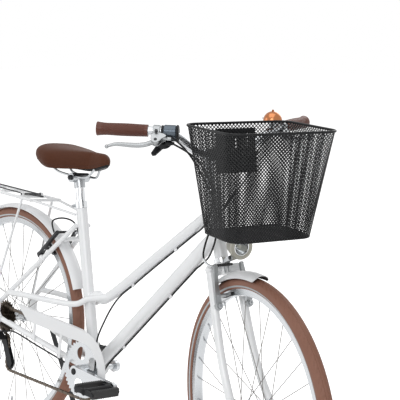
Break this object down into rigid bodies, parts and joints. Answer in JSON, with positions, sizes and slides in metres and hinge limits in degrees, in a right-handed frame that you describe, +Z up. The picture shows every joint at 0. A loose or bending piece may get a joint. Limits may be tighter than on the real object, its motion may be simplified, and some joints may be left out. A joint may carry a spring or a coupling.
{
  "type": "step-through city bicycle",
  "caption": "White step-through city bicycle with a black mesh front basket, brown tyres, saddle and grips, rear carrier, rim brakes and side stand.",
  "frame": {"origin": "on the ground, under the middle of the bounding box", "axes": "+X forward along the bicycle, +Y to the rider's left, +Z up from the ground"},
  "size_m": [1.7708, 0.6102, 1.0851],
  "materials": {
    "white_paint": "gloss white powder coat",
    "white_plastic": "white moulded plastic",
    "alloy": "polished aluminium alloy",
    "steel": "bright zinc-plated steel",
    "chrome": "chrome plated steel",
    "leather": "brown leather-look cover",
    "tyre_brown": "brown rubber",
    "black_plastic": "black moulded plastic",
    "black_steel": "black coated steel",
    "cable_black": "black cable housing",
    "shifter_grey": "blue-grey plastic and alloy",
    "copper": "copper-coloured bell metal",
    "stand_grey": "dark coated steel",
    "lamp_silver": "silver-grey plastic housing"
  },
  "bodies": {
    "frame": {"head_tube": "white_paint", "main_tube": "white_paint", "down_tube": "white_paint", "seat_tube": "white_paint", "chain_stays": "white_paint", "seat_stays": "white_paint", "twin_stays": "white_paint", "seat_collar": "chrome", "headset_cups": "chrome", "rear_mudguard": "white_plastic", "carrier": "white_paint", "rear_axle": "steel", "chain_guard": "white_plastic", "chain": "steel", "derailleur": "black_plastic", "frame_cables": "cable_black"},
    "front": {"fork": "white_paint", "front_axle": "steel", "front_mudguard": "white_plastic", "stem": "alloy", "handlebar": "alloy", "grips": "leather", "lever_brackets": "alloy", "shifter_body": "shifter_grey", "bell_base": "steel", "bell": "copper", "lamp_bracket": "black_plastic", "basket_holder": "black_plastic", "front_brake_cable": "cable_black", "cable_loops": "cable_black"},
    "seat": {"seatpost": "chrome", "seat_clamp": "stand_grey", "saddle_rails": "steel", "saddle_base": "black_plastic", "saddle": "leather"},
    "front_wheel": {"front_tyre": "tyre_brown", "front_rim": "alloy", "front_spokes": "steel", "front_hub": "alloy"},
    "rear_wheel": {"rear_tyre": "tyre_brown", "rear_rim": "alloy", "rear_spokes": "steel", "rear_hub": "alloy"},
    "cassette": {"cassette": "steel"},
    "crank": {"crankset": "alloy"},
    "pedal_left": {"pedal_left": "black_plastic"},
    "pedal_right": {"pedal_right": "black_plastic"},
    "lever_left": {"lever_left": "alloy"},
    "lever_right": {"lever_right": "alloy"},
    "front_arm_left": {"front_arm_left": "alloy"},
    "front_arm_right": {"front_arm_right": "alloy"},
    "rear_arm_left": {"rear_arm_left": "stand_grey"},
    "rear_arm_right": {"rear_arm_right": "stand_grey"},
    "shift_lever": {"shift_lever": "black_plastic"},
    "bell_lever": {"bell_lever": "steel"},
    "headlamp": {"headlamp": "lamp_silver"},
    "stand": {"stand": "stand_grey"},
    "carrier_clip": {"carrier_clip": "black_steel"},
    "basket": {"basket": "black_steel", "basket_plate": "black_plastic"}
  },
  "joints": [
    {"name": "steering", "type": "hinge", "parent": "frame", "child": "front", "pos_m": [0.36034, -0.03718, 0.70405], "axis": [-0.3584, 0.1138, 0.9266], "range_deg": [-43, 77], "deforming": ["cable_loops"]},
    {"name": "front_wheel_spin", "type": "hinge", "parent": "front", "child": "front_wheel", "pos_m": [0.54996, -0.09563, 0.34797], "axis": [0.273, 0.9619, -0.0125], "continuous": true},
    {"name": "rear_wheel_spin", "type": "hinge", "parent": "frame", "child": "rear_wheel", "pos_m": [-0.52445, -0.0812, 0.34554], "axis": [0, 0.9925, -0.1219], "continuous": true},
    {"name": "crank_spin", "type": "hinge", "parent": "frame", "child": "crank", "pos_m": [-0.09945, -0.08851, 0.28599], "axis": [0, 0.9925, -0.1219], "continuous": true},
    {"name": "cassette_spin", "type": "hinge", "parent": "frame", "child": "cassette", "pos_m": [-0.52445, -0.0812, 0.34554], "axis": [0, 0.9925, -0.1219], "continuous": true},
    {"name": "pedal_left_spin", "type": "hinge", "parent": "crank", "child": "pedal_left", "pos_m": [-0.26945, -0.00613, 0.27588], "axis": [0, 0.9925, -0.1219], "continuous": true},
    {"name": "pedal_right_spin", "type": "hinge", "parent": "crank", "child": "pedal_right", "pos_m": [0.07055, -0.17089, 0.29611], "axis": [0, 0.9925, -0.1219], "continuous": true},
    {"name": "seat_height", "type": "slide", "parent": "frame", "child": "seat", "axis": [-0.2924, 0.1165, 0.9492], "range_m": [-0.04, 0.06]},
    {"name": "lever_left_pull", "type": "hinge", "parent": "front", "child": "lever_left", "pos_m": [0.40126, 0.15588, 1.01307], "axis": [0.7094, 0.2312, 0.6658], "range_deg": [0, 14], "stiffness_Nm_per_rad": 4, "springref_deg": -5.73},
    {"name": "lever_right_pull", "type": "hinge", "parent": "front", "child": "lever_right", "pos_m": [0.29589, -0.21544, 1.01791], "axis": [-0.4868, 0.5531, -0.6761], "range_deg": [0, 14], "stiffness_Nm_per_rad": 4, "springref_deg": -5.73},
    {"name": "front_arm_left_swing", "type": "hinge", "parent": "front", "child": "front_arm_left", "pos_m": [0.44405, -0.01552, 0.59935], "axis": [0.8928, -0.2484, 0.3758], "range_deg": [0, 3]},
    {"name": "front_arm_right_swing", "type": "hinge", "parent": "front", "child": "front_arm_right", "pos_m": [0.41948, -0.10209, 0.60048], "axis": [-0.8928, 0.2484, -0.3758], "range_deg": [0, 3]},
    {"name": "rear_arm_left_swing", "type": "hinge", "parent": "frame", "child": "rear_arm_left", "pos_m": [-0.36527, -0.01224, 0.57042], "axis": [0.7727, -0.0774, -0.63], "range_deg": [0, 3]},
    {"name": "rear_arm_right_swing", "type": "hinge", "parent": "frame", "child": "rear_arm_right", "pos_m": [-0.36527, -0.09371, 0.58042], "axis": [-0.7727, 0.0774, 0.63], "range_deg": [0, 3]},
    {"name": "shift_push", "type": "hinge", "parent": "front", "child": "shift_lever", "pos_m": [0.27578, -0.17705, 1.0076], "axis": [0.4868, -0.5531, 0.6761], "range_deg": [0, 20], "stiffness_Nm_per_rad": 1, "springref_deg": -5.73},
    {"name": "bell_ring", "type": "hinge", "parent": "front", "child": "bell_lever", "pos_m": [0.3545, 0.12134, 1.05541], "axis": [-0.0146, 0.0172, 0.9997], "range_deg": [0, 25], "stiffness_Nm_per_rad": 0.3, "springref_deg": -5.73},
    {"name": "lamp_tilt", "type": "hinge", "parent": "front", "child": "headlamp", "pos_m": [0.41654, -0.05292, 0.72008], "axis": [0.273, 0.9619, -0.0125], "range_deg": [-6, 6]},
    {"name": "stand_fold", "type": "hinge", "parent": "frame", "child": "stand", "pos_m": [-0.44845, 0.00096, 0.32135], "axis": [0.123, 0.9588, 0.256], "range_deg": [0, 90]},
    {"name": "clip_open", "type": "hinge", "parent": "frame", "child": "carrier_clip", "pos_m": [-0.49445, -0.03267, 0.74078], "axis": [0, 0.9925, -0.1219], "range_deg": [0, 25], "stiffness_Nm_per_rad": 4, "springref_deg": -5.73},
    {"name": "basket_lift", "type": "slide", "parent": "front", "child": "basket", "axis": [-0.1525, 0.0562, 0.9867], "range_m": [0, 0.15]}
  ],
  "couplings": [
    {"joint": "cassette_spin", "follows": "crank_spin", "ratio": 2.3333},
    {"joint": "front_arm_left_swing", "follows": "lever_left_pull", "ratio": 0.21429},
    {"joint": "front_arm_right_swing", "follows": "lever_left_pull", "ratio": 0.21429},
    {"joint": "rear_arm_left_swing", "follows": "lever_right_pull", "ratio": 0.21429},
    {"joint": "rear_arm_right_swing", "follows": "lever_right_pull", "ratio": 0.21429}
  ]
}
